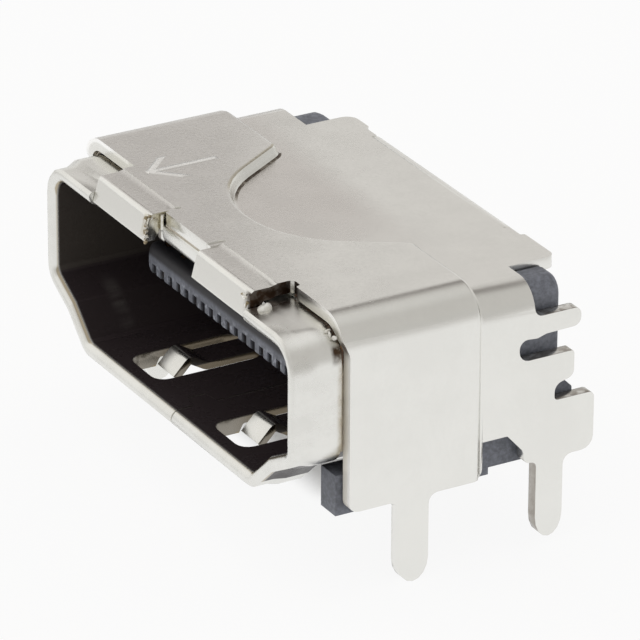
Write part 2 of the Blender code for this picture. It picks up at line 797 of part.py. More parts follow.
parts = bpy.data.collections.new("video_socket")
cutters = bpy.data.collections.new("cutters")
bpy.context.scene.collection.children.link(parts)
bpy.context.scene.collection.children.link(cutters)

nickel = make_material("nickel_plated_sheet", (0.72, 0.71, 0.68), 0.28, 1.0)
inner_nickel = make_material("inner_nickel_sheet", (0.74, 0.73, 0.7), 0.24, 1.0)
black_resin = make_material("black_resin", (0.03, 0.034, 0.042), 0.5, 0.0)
comb_resin = make_material("comb_resin", (0.025, 0.027, 0.03), 0.6, 0.0)
contact_metal = make_material("gold_flashed_contact", (0.8, 0.55, 0.28), 0.25, 1.0)

make_inner_shell(parts).data.materials.append(inner_nickel)
make_outer_shell(parts).data.materials.append(nickel)
make_housing(parts).data.materials.append(black_resin)
make_comb(parts).data.materials.append(comb_resin)
for number in range(contact_count):
    make_contact(number, parts).data.materials.append(contact_metal)
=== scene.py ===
import math
import bmesh
import bpy
from mathutils import Matrix, Vector


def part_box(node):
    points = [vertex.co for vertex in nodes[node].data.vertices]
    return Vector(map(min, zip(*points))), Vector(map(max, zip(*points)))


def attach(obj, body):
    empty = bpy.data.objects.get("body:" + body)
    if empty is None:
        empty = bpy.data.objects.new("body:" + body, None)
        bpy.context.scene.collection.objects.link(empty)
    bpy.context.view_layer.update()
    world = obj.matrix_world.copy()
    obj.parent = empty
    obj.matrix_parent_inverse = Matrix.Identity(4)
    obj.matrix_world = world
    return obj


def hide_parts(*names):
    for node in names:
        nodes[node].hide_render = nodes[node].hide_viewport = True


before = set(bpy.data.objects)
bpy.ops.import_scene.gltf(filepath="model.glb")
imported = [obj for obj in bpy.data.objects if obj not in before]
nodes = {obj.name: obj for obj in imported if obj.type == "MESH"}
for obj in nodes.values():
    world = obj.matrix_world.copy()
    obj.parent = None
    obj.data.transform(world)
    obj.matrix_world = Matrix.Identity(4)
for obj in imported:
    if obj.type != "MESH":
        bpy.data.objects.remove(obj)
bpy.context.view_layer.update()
mm = 0.001

# where the CAD puts the rim, the roof of the mouth and the sheet's outside; the part stands on its front legs
place = {
    "front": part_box("inner_shell")[0][1],
    "mouthTop": 7.66 * mm,
    "roof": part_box("outer_shell")[1][2],
    "half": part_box("outer_shell")[1][0],
}


# shader helpers: an expression on values adds its Math nodes
class Value:
    def __init__(self, tree, socket):
        self.tree = tree
        self.socket = socket

    def calc(self, operation, *others, flip=False):
        node = self.tree.nodes.new("ShaderNodeMath")
        node.operation = operation
        inputs = [self, *others]
        if flip:
            inputs.reverse()
        for index, item in enumerate(inputs):
            if isinstance(item, Value):
                self.tree.links.new(item.socket, node.inputs[index])
            else:
                node.inputs[index].default_value = item
        return Value(self.tree, node.outputs[0])

    def __add__(self, other): return self.calc("ADD", other)
    def __radd__(self, other): return self.calc("ADD", other, flip=True)
    def __sub__(self, other): return self.calc("SUBTRACT", other)
    def __rsub__(self, other): return self.calc("SUBTRACT", other, flip=True)
    def __mul__(self, other): return self.calc("MULTIPLY", other)
    def __rmul__(self, other): return self.calc("MULTIPLY", other, flip=True)
    def smaller(self, other): return self.calc("MINIMUM", other)
    def larger(self, other): return self.calc("MAXIMUM", other)
    def size(self): return self.calc("ABSOLUTE")
    def root(self): return self.calc("SQRT")

    # 0 below low, 1 above high, soft in between
    def ramp(self, low, high):
        node = self.tree.nodes.new("ShaderNodeMapRange")
        node.interpolation_type = "SMOOTHSTEP"
        self.tree.links.new(self.socket, node.inputs["Value"])
        swap = low > high
        node.inputs["From Min"].default_value = high if swap else low
        node.inputs["From Max"].default_value = low if swap else high
        node.inputs["To Min"].default_value = 1.0 if swap else 0.0
        node.inputs["To Max"].default_value = 0.0 if swap else 1.0
        return Value(self.tree, node.outputs["Result"])

    # 1 around middle, 0 further away than outer
    def near(self, middle, outer, inner):
        return (self - middle).size().ramp(outer, inner)


class Finish:
    def __init__(self, name):
        self.material = bpy.data.materials.new(name)
        self.material.use_nodes = True
        self.tree = self.material.node_tree
        self.shader = self.tree.nodes["Principled BSDF"]
        where = self.add("ShaderNodeTexCoord")
        self.spot = where.outputs["Object"]
        split = self.add("ShaderNodeSeparateXYZ", Vector=self.spot)
        self.x, self.y, self.z = (Value(self.tree, split.outputs[index]) for index in range(3))

    # a node of any type: its settings first, then the values or links of its sockets
    def add(self, kind, settings=None, **sockets):
        node = self.tree.nodes.new(kind)
        for key, value in (settings or {}).items():
            setattr(node, key, value)
        self.fill(node, sockets)
        return node

    def fill(self, node, sockets):
        for key, value in sockets.items():
            socket = node.inputs[key.replace("_", " ")]
            if isinstance(value, Value):
                self.tree.links.new(value.socket, socket)
            elif isinstance(value, bpy.types.NodeSocket):
                self.tree.links.new(value, socket)
            else:
                socket.default_value = value

    def noise(self, scale, detail=3.0, rough=0.6, stretch=None):
        spot = self.spot
        if stretch:
            spot = self.add("ShaderNodeMapping", Vector=spot, Scale=stretch).outputs[0]
        node = self.add("ShaderNodeTexNoise", Vector=spot, Scale=scale, Detail=detail, Roughness=rough)
        return Value(self.tree, node.outputs["Fac"])

    def cells(self, scale):
        node = self.add("ShaderNodeTexVoronoi", Vector=self.spot, Scale=scale)
        return Value(self.tree, node.outputs["Distance"])

    # from the first colour at factor 0 to the second at 1
    def mix(self, factor, first, second):
        node = self.add("ShaderNodeMix", {"data_type": "RGBA"})
        self.tree.links.new(factor.socket, node.inputs[0])
        for socket, colour in ((node.inputs[6], first), (node.inputs[7], second)):
            if isinstance(colour, bpy.types.NodeSocket):
                self.tree.links.new(colour, socket)
            else:
                socket.default_value = (*colour, 1.0)
        return node.outputs[2]

    # layers of tint, each a factor and a colour, one over the other
    def layered(self, tint, *layers):
        for factor, colour in layers:
            tint = self.mix(factor, tint, colour)
        return tint

    # depth behind the rim, height over the mouth's roof, distance from the middle
    def measures(self):
        return self.y - place["front"], self.z - place["mouthTop"], self.x.size()

    def normal(self):
        node = self.add("ShaderNodeNewGeometry")
        split = self.add("ShaderNodeSeparateXYZ", Vector=node.outputs["True Normal"])
        return [Value(self.tree, split.outputs[index]) for index in range(3)]

    def bump(self, height, distance, under=None):
        node = self.add("ShaderNodeBump", Height=height, Distance=distance, Strength=1.0)
        if under:
            self.tree.links.new(under, node.inputs["Normal"])
        return node.outputs[0]

    def wear(self, **sockets):
        self.fill(self.shader, sockets)
        return self.material


outerLook = {
    "light": (0.82, 0.815, 0.78), "dull": (0.765, 0.76, 0.725), "leftShadeTint": (0.60, 0.58, 0.555),
    "bayShadeTint": (0.685, 0.66, 0.63), "paintedEdgeLight": (0.98, 0.96, 0.90), "olive": (0.46, 0.41, 0.29),
    "cutStain": (0.13, 0.095, 0.06), "cream": (0.62, 0.59, 0.49), "shine": (1.0, 0.995, 0.975),
    "markTint": (0.97, 0.965, 0.94), "stain": (0.05, 0.029, 0.018),
    "cloud": 700.0, "grain": 9000.0, "coarse": 2600.0, "pits": 6500.0, "bumpDepth": 0.005 * mm,
    "roughLow": 0.22, "roughHigh": 0.31, "blotRough": 0.2, "edgeRough": 0.35, "edgeMatt": 0.85,
    # the direction towards the front left along which painted shade darkens the roof and its wear grows, and where
    # along it they grow
    "wearX": 0.497, "wearY": 0.868, "shadeAndWearRun": (0.9 * mm, -3.6 * mm), "grainRun": (4.6 * mm, -1.8 * mm),
    "leftShadeLeast": 0.6, "flatFrom": (0.9, 0.97),
    "bayRise": (0.8 * mm, 0.72 * mm), "bayX": (5.5 * mm, -0.5 * mm), "bayDepth": (7.2 * mm, 5.8 * mm),
    # sheared edges beside the hooks; a spot is its middle, its outer and its inner reach
    "shearRise": (0.12 * mm, 0.3 * mm), "cornerLess": 0.85,
    "rightX": (4.8 * mm, 0.55 * mm, 0.25 * mm), "rightFrom": (0.12 * mm, 0.3 * mm), "rightTo": (1.95 * mm, 1.75 * mm),
    "leftX": (-1.3 * mm, 0.5 * mm, 0.3 * mm), "leftFrom": (0.05 * mm, 0.2 * mm), "leftTo": (0.95 * mm, 0.8 * mm),
    # the sheet's front edge, its round corner, and the pale painted light on it down the right wall
    "sheet": 0.38 * mm, "bend": 1.0 * mm, "edgeTo": (1.95 * mm, 1.8 * mm), "edgeFrom": (4.9 * mm, 5.05 * mm),
    "shineReach": (0.16 * mm, 0.08 * mm), "stainReach": 0.12 * mm, "paleTop": (0.1 * mm, -0.3 * mm),
    "rightHalf": (0.0, 0.5 * mm),
    # the fold of the bay
    "foldLow": (0.6 * mm, 0.68 * mm), "foldHigh": (1.01 * mm, 0.98 * mm), "foldFoot": (0.80 * mm, 0.72 * mm),
    "foldX": (-1.3 * mm, -2.1 * mm), "foldDepth": (2.9 * mm, 3.3 * mm),
    # cut edges at the back: legs and ears
    "cutSide": (7.2 * mm, 7.3 * mm), "cutDepth": (6.4 * mm, 6.6 * mm), "legTop": (-4.6 * mm, -4.9 * mm),
    "earTop": (-0.1 * mm, -0.3 * mm),
    "markSpot": (-4.0 * mm, 2.75 * mm), "markHalf": 1.05 * mm, "markArm": 0.7 * mm, "markWidth": 0.085 * mm,
    "markDepth": 0.06 * mm,
}


# a stamped arrow that shows which way the plug goes in: 1 on its three strokes
def arrowMark(finish, depth):
    look = outerLook
    slant = math.sqrt(0.5)
    x = finish.x - look["markSpot"][0]
    y = depth - look["markSpot"][1]
    half, arm, width = look["markHalf"], look["markArm"], look["markWidth"]
    shaft = x.size().larger(y.size() - half)
    head = (slant * (y + half) - slant * x.size()).size().larger(x.size() - arm)
    head = head.larger(-1.0 * (y + half))
    return shaft.smaller(head).ramp(width * 1.5, width * 0.6)


def makeOuterFinish():
    look = outerLook
    finish = Finish("outerNickel")
    cloud = finish.noise(look["cloud"], 4.0)
    grain = finish.noise(look["grain"])
    coarse = finish.noise(look["coarse"])
    pits = finish.cells(look["pits"]).ramp(0.10, 0.32)
    mottle = (cloud * 0.6 + grain * 0.4).ramp(0.36, 0.64)
    streaks = coarse.ramp(0.40, 0.56)
    nx, ny, nz = finish.normal()
    depth, rise, side = finish.measures()
    right = finish.x.ramp(*look["rightHalf"])
    # painted shade darkens the top towards the front left, where the plating also grows grainier; the walls stay smooth
    flat = nz.ramp(*look["flatFrom"])
    along = look["wearX"] * finish.x + look["wearY"] * finish.y
    shadedAndWorn = along.ramp(*look["shadeAndWearRun"]) * flat
    rough = along.ramp(*look["grainRun"]) * flat
    # painted shade: the bay's floor darker than the roof around it
    bay = flat * rise.ramp(*look["bayRise"]) * finish.x.ramp(*look["bayX"]) * depth.ramp(*look["bayDepth"])
    # bare, stained steel where the sheet was sheared: dark beside the right hook, cream at the left one
    sheared = nz.size().ramp(0.8, 0.5) * rise.ramp(*look["shearRise"])
    corner = nx.ramp(0.3, 0.45) * ny.ramp(-0.3, -0.45)
    hookOut = (finish.x.near(*look["rightX"]) * depth.ramp(*look["rightFrom"]) * depth.ramp(*look["rightTo"])
               * (1.0 - look["cornerLess"] * corner))
    hookIn = finish.x.near(*look["leftX"]) * depth.ramp(*look["leftFrom"]) * depth.ramp(*look["leftTo"])
    blot = (hookOut * (0.9 + 0.1 * streaks)).smaller(1.0) * sheared
    cream = hookIn * sheared * (1.0 - corner) * (0.5 + 0.5 * streaks)
    # the front edge of the sheet: a painted highlight on its outer bend, stained towards its inner side, and pale,
    # matte painted light down the right wall
    outX = (side - (place["half"] - look["bend"])).larger(0.0)
    outZ = (finish.z - (place["roof"] - look["bend"])).larger(0.0)
    reach = (outX * outX + outZ * outZ).root()
    frontFace = depth.ramp(*look["edgeTo"]) * side.ramp(*look["edgeFrom"]) * ny.ramp(-0.15, -0.5)
    paintedEdgeLight = frontFace * right * rise.ramp(*look["paleTop"])
    shine = frontFace * reach.ramp(*(look["bend"] - part for part in look["shineReach"]))
    inwards = reach.ramp(look["bend"] - look["stainReach"], look["bend"] - look["sheet"])
    frontEdge = frontFace * (0.2 + 0.8 * inwards) * (0.25 + 0.75 * right)
    # painted shade in the fold of the bay, olive, darkest at its foot
    bayFoldShade = (nz.ramp(0.995, 0.96) * nz.ramp(0.5, 0.7) * nx.ramp(0.02, 0.12) * rise.ramp(*look["foldLow"])
               * rise.ramp(*look["foldHigh"]) * finish.x.ramp(*look["foldX"]) * depth.ramp(*look["foldDepth"]))
    foot = bayFoldShade * rise.ramp(*look["foldFoot"]) * (0.55 + 0.4 * streaks)
    # olive: a stain along the sheet's front edge and painted shade in the bay's fold
    olive = (frontEdge * 0.28 + bayFoldShade * 0.75).smaller(1.0) * (0.6 + 0.4 * coarse)
    # cut edges: the rear legs' front edges, the tops of the ears
    cutHere = side.ramp(*look["cutSide"]) * depth.ramp(*look["cutDepth"])
    legEdge = cutHere * ny.ramp(-0.5, -0.7) * rise.ramp(*look["legTop"])
    earTops = cutHere * nz.ramp(0.6, 0.8) * rise.ramp(*look["earTop"])
    cuts = (legEdge * 0.9 + earTops * (0.25 + 0.6 * streaks)).smaller(1.0) * (0.45 + 0.55 * coarse)
    mark = arrowMark(finish, depth) * flat
    # painted shade: the roof towards the front left, the bay and the foot of its fold; painted light: the front edge
    # down the right wall and the highlight on its bend
    colour = finish.layered(
        look["light"], (mottle * (0.4 + 0.6 * rough), look["dull"]),
        (shadedAndWorn * (look["leftShadeLeast"] + 0.5 * grain), look["leftShadeTint"]), (bay, look["bayShadeTint"]),
        (paintedEdgeLight, look["paintedEdgeLight"]), (olive, look["olive"]), (cuts, look["cutStain"]), (cream, look["cream"]),
        (shine, look["shine"]), (mark * (0.5 + 0.5 * mottle), look["markTint"]),
        # the stain colour: stains beside the right hook and painted shade at the foot of the bay's fold
        ((blot + foot).smaller(1.0), look["stain"]))
    roughness = (look["roughLow"] + (look["roughHigh"] - look["roughLow"]) * mottle * (0.4 + 0.6 * rough)
                 + look["blotRough"] * blot + look["edgeRough"] * frontEdge)
    height = (grain * (0.3 + 1.1 * shadedAndWorn) + pits * 0.3 + coarse * 0.5 * shadedAndWorn) * (0.25 + 0.75 * rough) + cloud * 0.3
    fine = finish.bump(height, look["bumpDepth"])
    return finish.wear(Base_Color=colour, Metallic=1.0 - look["edgeMatt"] * paintedEdgeLight, Roughness=roughness,
                       Normal=finish.bump(mark, look["markDepth"], fine))


innerLook = {
    "light": (0.82, 0.815, 0.78), "dull": (0.745, 0.74, 0.705), "cut": (0.15, 0.125, 0.09),
    "stain": (0.32, 0.24, 0.11), "holeShade": (0.07, 0.045, 0.028), "gleam": (0.98, 0.97, 0.94),
    "deep": (0.066, 0.057, 0.05), "floor": (0.04, 0.031, 0.033), "sheen": (0.16, 0.15, 0.14),
    "cloud": 900.0, "grain": 8000.0, "streak": 1500.0, "alongDepth": (1.0, 0.12, 1.0), "coarse": 2600.0,
    "roughLow": 0.24, "roughHigh": 0.33, "specular": 0.12, "bumpDepth": 0.003 * mm,
    # the tube's inside: where it ends sideways, above and below, and where behind the rim it turns dark
    "tubeHigh": 4.55 * mm, "tubeSide": (7.06 * mm, 7.02 * mm), "collar": (0.5 * mm, 0.45 * mm),
    "skin": (0.06 * mm, 0.01 * mm), "darkFrom": (0.14 * mm, 0.24 * mm),
    # spring fingers and their windows; a spot is its middle, its outer and its inner reach
    "finger": (2.55 * mm, 0.54 * mm, 0.51 * mm), "fingerFrom": (1.2 * mm, 1.3 * mm), "panelTo": (2.02 * mm, 1.94 * mm),
    "window": (2.55 * mm, 1.02 * mm, 0.99 * mm), "windowFrom": (0.6 * mm, 0.65 * mm),
    "cutFade": (1.2 * mm, 2.4 * mm),
    # stained lines: where the rim turns dark and along the collar's rear edge
    "rimLine": (0.14 * mm, 0.055 * mm, 0.02 * mm), "rearLine": (1.58 * mm, 0.2 * mm, 0.03 * mm),
    "rearFade": (-0.4 * mm, -0.8 * mm),
    # painted shade beside the right hook, behind it and at the collar's right corner, and the painted glint before that
    "hookX": (4.75 * mm, 0.4 * mm, 0.15 * mm), "hookDepth": (0.42 * mm, 0.34 * mm, 0.2 * mm),
    "behindX": (4.9 * mm, 0.5 * mm, 0.1 * mm), "behindDepth": (1.2 * mm, 0.32 * mm, 0.1 * mm),
    "cornerX": (7.3 * mm, 0.3 * mm, 0.15 * mm), "cornerDepth": (1.5 * mm, 0.28 * mm, 0.12 * mm),
    "cornerRise": (-0.12 * mm, 0.36 * mm, 0.16 * mm),
    "gleamX": (6.73 * mm, 0.3 * mm, 0.12 * mm), "gleamDepth": (1.43 * mm, 0.2 * mm, 0.08 * mm),
    # a faint sheen low on the left wall
    "sheenX": (-4.9 * mm, -5.3 * mm), "sheenDepth": (1.5 * mm, 0.35 * mm, 0.05 * mm),
    "sheenRise": (-3.95 * mm, 0.75 * mm, 0.3 * mm),
}


def makeInnerFinish():
    look = innerLook
    finish = Finish("innerNickel")
    cloud = finish.noise(look["cloud"], 4.0)
    grain = finish.noise(look["grain"])
    streak = finish.noise(look["streak"], stretch=look["alongDepth"])
    streaks = finish.noise(look["coarse"]).ramp(0.38, 0.6)
    mottle = (cloud * 0.5 + grain * 0.2 + streak * 0.3).ramp(0.38, 0.62)
    level = finish.normal()[2].size()
    depth, rise, side = finish.measures()
    lift = rise + look["tubeHigh"]
    # painted shade darkens the inside of the tube and takes its metal away; its rim and the front of the spring fingers
    # stay bright
    far, near = look["collar"]
    within = lift.ramp(-far, -near) * rise.ramp(far, near) * side.ramp(*look["tubeSide"])
    outside = 1.0 - within
    far, near = look["skin"]
    inward = within * lift.ramp(-far, -near) * rise.ramp(far, near)
    fingerHere = side.near(*look["finger"]) * depth.ramp(*look["fingerFrom"])
    panel = fingerHere * (depth + lift * 0.1).ramp(*look["panelTo"])
    dark = inward * depth.ramp(*look["darkFrom"]) * (1.0 - panel)
    cutEdge = side.near(*look["window"]) * depth.ramp(*look["windowFrom"]) * level.ramp(0.35, 0.2)
    rimStain = inward * depth.near(*look["rimLine"])
    rear = depth.near(*look["rearLine"]) * outside * (0.3 + 0.25 * rise.ramp(*look["rearFade"])) * (0.5 + 0.5 * streaks)
    # painted shade in the holes by the right hook and at the collar's corner, and a painted glint just before it
    holeShade = (finish.x.near(*look["hookX"]) * depth.near(*look["hookDepth"])
            + finish.x.near(*look["behindX"]) * depth.near(*look["behindDepth"]) * 0.7
            + finish.x.near(*look["cornerX"]) * depth.near(*look["cornerDepth"]) * rise.near(*look["cornerRise"]))
    gleam = finish.x.near(*look["gleamX"]) * depth.near(*look["gleamDepth"]) * outside
    tint = finish.layered(
        look["dull"], (mottle, look["light"]), (cutEdge * (0.8 + 0.2 * depth.ramp(*look["cutFade"])), look["cut"]),
        ((0.7 * rimStain + rear).smaller(1.0), look["stain"]),
        (holeShade.smaller(1.0) * (0.55 + 0.45 * streaks) * outside, look["holeShade"]), (gleam, look["gleam"]))
    sheen = (depth.near(*look["sheenDepth"]) * rise.near(*look["sheenRise"]) * finish.x.ramp(*look["sheenX"])
             * streak.ramp(0.3, 0.6))
    # painted shade inside the tube, darker on its floor, with a faint sheen low on the left wall
    paintedShadeTint = finish.layered(look["deep"], (level.ramp(0.4, 0.8), look["floor"]), (sheen * 0.5, look["sheen"]))
    height = grain * 0.5 + cloud * 0.3 + streak * 0.4
    finish.shader.inputs["Specular IOR Level"].default_value = look["specular"]
    return finish.wear(Base_Color=finish.mix(dark, tint, paintedShadeTint), Metallic=1.0 - dark,
                       Roughness=look["roughLow"] + (look["roughHigh"] - look["roughLow"]) * mottle,
                       Normal=finish.bump(height, look["bumpDepth"]))


resinLook = {
    "light": (0.23, 0.245, 0.29), "dark": (0.12, 0.128, 0.152), "shade": (0.018, 0.016, 0.018),
    "speckHighlight": (0.42, 0.45, 0.52), "rough": 0.48, "combLift": 0.7, "bumpDepth": 0.006 * mm,
    "grain": 7000.0, "cloud": 900.0, "flecks": 9000.0, "speckHighlights": 5200.0,
    # the tongue and, down from its top, the front in painted shade, the notches in painted shade and the painted specks
    # of highlight
    "tongueTop": -1.72 * mm, "tongueThick": 0.94 * mm, "tongueStart": 2.07 * mm, "tongueSide": (5.2 * mm, 5.1 * mm),
    "tongueEnd": (1.2 * mm, 0.9 * mm), "tongueSkin": (0.1 * mm, 0.04 * mm), "shadeDown": (0.42 * mm, 0.24 * mm),
    "notchDown": (0.5 * mm, 0.6 * mm), "notchFrom": (0.03 * mm, 0.08 * mm), "speckDown": (0.4 * mm, 0.55 * mm),
}


def makeResinFinish(name="mouldedResin", lift=1.0):
    look = resinLook
    finish = Finish(name)
    grain = finish.noise(look["grain"], 4.0, 0.7)
    cloud = finish.noise(look["cloud"])
    flecks = finish.cells(look["flecks"]).ramp(0.08, 0.2)
    depth, rise, side = finish.measures()
    ahead = depth - look["tongueStart"]
    fromTop = look["tongueTop"] - rise
    far, near = look["tongueSkin"]
    tongue = (ahead.ramp(*look["tongueEnd"]) * side.ramp(*look["tongueSide"]) * fromTop.ramp(-far, -near)
              * (fromTop - look["tongueThick"]).ramp(far, near))
    # painted shade down the tongue's front and in its notches, and painted specks of highlight lower on it
    shaded = tongue * fromTop.ramp(*look["shadeDown"])
    notchShade = tongue * ahead.ramp(*look["notchFrom"]) * fromTop.ramp(*look["notchDown"])
    speckHighlights = tongue * finish.noise(look["speckHighlights"], 2.0, 0.5).ramp(0.52, 0.66) * fromTop.ramp(*look["speckDown"])
    dark, light = (tuple(lift * part for part in look[key]) for key in ("dark", "light"))
    colour = finish.layered(dark, ((grain * 0.6 + cloud * 0.4).ramp(0.35, 0.65), light), (speckHighlights * 0.75, look["speckHighlight"]),
                            ((shaded * 0.92 + notchShade * 0.8).smaller(0.95), look["shade"]))
    height = grain * 0.7 + flecks * 0.3 + cloud * 0.4
    return finish.wear(Base_Color=colour, Roughness=look["rough"] + 0.12 * grain - 0.2 * speckHighlights,
                       Normal=finish.bump(height, look["bumpDepth"]))


contactLook = {
    "gold": (0.80, 0.50, 0.22), "tin": (0.66, 0.65, 0.62), "dull": (0.45, 0.30, 0.16), "grain": 5000.0,
    "tinFrom": (6.2 * mm, 6.5 * mm), "rough": 0.22, "bumpDepth": 0.002 * mm,
}


def makeContactFinish():
    look = contactLook
    finish = Finish("contactMetal")
    mottle = finish.noise(look["grain"]).ramp(0.35, 0.65)
    tin = finish.measures()[0].ramp(*look["tinFrom"])
    colour = finish.layered(look["gold"], (tin, look["tin"]), (mottle * 0.35, look["dull"]))
    return finish.wear(Base_Color=colour, Metallic=1.0, Roughness=look["rough"] + 0.12 * mottle,
                       Normal=finish.bump(mottle, look["bumpDepth"]))


outerNickel = makeOuterFinish()
innerNickel = makeInnerFinish()
mouldedResin = makeResinFinish()
combResin = makeResinFinish("combResin", resinLook["combLift"])
contactMetal = makeContactFinish()
print("finishes made")


# a CAD node's copy with its edges rounded as pressing and plating leave them
rounding = {"segments": 2, "angle": 34.0, "weld": 0.0005 * mm, "flatWithin": 1.0}


def roundedCopy(node, name, width, material):
    source = nodes[node]
    mesh = source.data.copy()
    mesh.name = name
    mesh.materials.clear()
    mesh.materials.append(material)
    shape = bmesh.new()
    shape.from_mesh(mesh)
    bmesh.ops.remove_doubles(shape, verts=shape.verts, dist=rounding["weld"])
    bmesh.ops.dissolve_limit(shape, angle_limit=math.radians(rounding["flatWithin"]), verts=shape.verts,
                             edges=shape.edges)
    shape.to_mesh(mesh)
    shape.free()
    piece = bpy.data.objects.new(name, mesh)
    bpy.context.scene.collection.objects.link(piece)
    bevel = piece.modifiers.new("edges", "BEVEL")
    bevel.width = width
    bevel.segments = rounding["segments"]
    bevel.limit_method = "ANGLE"
    bevel.angle_limit = math.radians(rounding["angle"])
    bevel.use_clamp_overlap = True
    bevel.miter_outer = "MITER_ARC"
    flat = piece.modifiers.new("flat", "WEIGHTED_NORMAL")
    flat.mode = "FACE_AREA"
    flat.weight = 50
    flat.keep_sharp = True
    for face in mesh.polygons:
        face.use_smooth = True
    graph = bpy.context.evaluated_depsgraph_get()
    done = bpy.data.meshes.new_from_object(piece.evaluated_get(graph))
    piece.modifiers.clear()
    piece.data = done
    done.name = name
    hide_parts(node)
    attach(piece, "root")


roundedCopy("outer_shell", "outerSheetPressing", 0.05 * mm, outerNickel)
roundedCopy("inner_shell", "innerSheetPressing", 0.022 * mm, innerNickel)
roundedCopy("housing", "housingMoulding", 0.03 * mm, mouldedResin)
print("sheets and moulding rounded")

for nodeName, node in nodes.items():
    if nodeName.startswith("contact_"):
        node.data.materials.clear()
        node.data.materials.append(contactMetal)
    elif nodeName == "tail_comb":
        node.data.materials.clear()
        node.data.materials.append(combResin)


# what a path carries: Geometry Nodes trees, each turned into one plain mesh
class Tree:
    def __init__(self, name, sizes):
        self.group = bpy.data.node_groups.new(name, "GeometryNodeTree")
        self.group.interface.new_socket(name="Path", in_out="INPUT", socket_type="NodeSocketGeometry")
        self.group.interface.new_socket(name="Result", in_out="OUTPUT", socket_type="NodeSocketGeometry")
        self.keys = {}
        for key, value in sizes.items():
            kind = "NodeSocketInt" if isinstance(value, int) else "NodeSocketFloat"
            self.keys[key] = self.group.interface.new_socket(name=key, in_out="INPUT", socket_type=kind).identifier
        self.start = self.group.nodes.new("NodeGroupInput")
        self.end = self.group.nodes.new("NodeGroupOutput")

    def value(self, key):
        return self.start.outputs[key]

    def add(self, kind, settings=None, **sockets):
        node = self.group.nodes.new(kind)
        for key, value in (settings or {}).items():
            setattr(node, key, value)
        for key, value in sockets.items():
            socket = [item for item in node.inputs if item.enabled and item.name == key.replace("_", " ")][0]
            if isinstance(value, bpy.types.NodeSocket):
                self.group.links.new(value, socket)
            else:
                socket.default_value = value
        return node

    # a random number or vector between low and high, from the tree's seed
    def chance(self, low, high, shift=0):
        kind = "FLOAT_VECTOR" if isinstance(low, tuple) else "FLOAT"
        seed = self.add("ShaderNodeMath", {"operation": "ADD"})
        self.group.links.new(self.value("Seed"), seed.inputs[0])
        seed.inputs[1].default_value = shift
        node = self.add("FunctionNodeRandomValue", {"data_type": kind}, Min=low, Max=high, Seed=seed.outputs[0])
        return [item for item in node.outputs if item.enabled][0]

    def scaled(self, first, second):
        node = self.add("ShaderNodeVectorMath", {"operation": "SCALE"})
        self.group.links.new(first, node.inputs[0])
        self.group.links.new(second, node.inputs["Scale"])
        return node.outputs[0]

    def finish(self, shape, material):
        whole = self.add("GeometryNodeRealizeInstances", Geometry=shape)
        coat = self.add("GeometryNodeSetMaterial", Geometry=whole.outputs[0], Material=material)
        self.group.links.new(coat.outputs[0], self.end.inputs[0])
        return self


# ragged lumps of sheared metal, scattered along a path
def lumpTree(sizes, material):
    tree = Tree("shearedLumps", sizes)
    curve = tree.add("GeometryNodeMeshToCurve", Mesh=tree.start.outputs[0])
    points = tree.add("GeometryNodeResampleCurve", Curve=curve.outputs[0], Count=tree.value("Count"))
    drift = tree.scaled(tree.chance((-1.0, -1.0, -1.0), (1.0, 1.0, 1.0), 1), tree.value("Spread"))
    moved = tree.add("GeometryNodeSetPosition", Geometry=points.outputs[0], Offset=drift)
    ball = tree.add("GeometryNodeMeshIcoSphere", Radius=1.0, Subdivisions=2)
    size = tree.scaled(tree.chance((0.4, 0.5, 0.35), (1.0, 1.3, 1.0), 2), tree.value("Size"))
    turn = tree.chance((-3.0, -3.0, -3.0), (3.0, 3.0, 3.0), 3)
    lumps = tree.add("GeometryNodeInstanceOnPoints", Points=moved.outputs[0], Instance=ball.outputs[0],
                     Rotation=turn, Scale=size)
    return tree.finish(lumps.outputs[0], material)


# a bead of uneven thickness that lies along a path
def beadTree(sizes, material):
    tree = Tree("slitBeadTree", sizes)
    curve = tree.add("GeometryNodeMeshToCurve", Mesh=tree.start.outputs[0])
    points = tree.add("GeometryNodeResampleCurve", Curve=curve.outputs[0], Count=tree.value("Count"))
    width = tree.add("ShaderNodeMath", {"operation": "MULTIPLY"})
    tree.group.links.new(tree.chance(0.75, 1.2, 1), width.inputs[0])
    tree.group.links.new(tree.value("Size"), width.inputs[1])
    ring = tree.add("GeometryNodeCurvePrimitiveCircle", Resolution=8, Radius=1.0)
    bead = tree.add("GeometryNodeCurveToMesh", Curve=points.outputs[0], Profile_Curve=ring.outputs[0],
                    Scale=width.outputs[0], Fill_Caps=True)
    return tree.finish(bead.outputs[0], material)


# a piece from one tree and a path of corners, each (x, depth behind the rim, height over the mouth's roof)
def pathPiece(name, tree, sizes, corners):
    spots = [(x, place["front"] + depth, place["mouthTop"] + rise) for x, depth, rise in corners]
    mesh = bpy.data.meshes.new(name)
    mesh.from_pydata(spots, [(index, index + 1) for index in range(len(spots) - 1)], [])
    piece = bpy.data.objects.new(name, mesh)
    bpy.context.scene.collection.objects.link(piece)
    growth = piece.modifiers.new("growth", "NODES")
    growth.node_group = tree.group
    for key, value in sizes.items():
        growth[tree.keys[key]] = value
    graph = bpy.context.evaluated_depsgraph_get()
    done = bpy.data.meshes.new_from_object(piece.evaluated_get(graph))
    piece.modifiers.clear()
    piece.data = done
    done.name = name
    for face in done.polygons:
        face.use_smooth = True
    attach(piece, "root")


steelLook = {
    "clean": (0.88, 0.87, 0.83), "stained": (0.34, 0.28, 0.18), "patches": 5200.0, "rough": 0.25, "stainedRough": 0.2,
}


def makeBareSteel():
    look = steelLook
    finish = Finish("shearedSteel")
    patches = finish.noise(look["patches"]).ramp(0.42, 0.58)
    tint = finish.mix(patches, look["clean"], look["stained"])
    return finish.wear(Base_Color=tint, Metallic=1.0, Roughness=look["rough"] + look["stainedRough"] * patches)


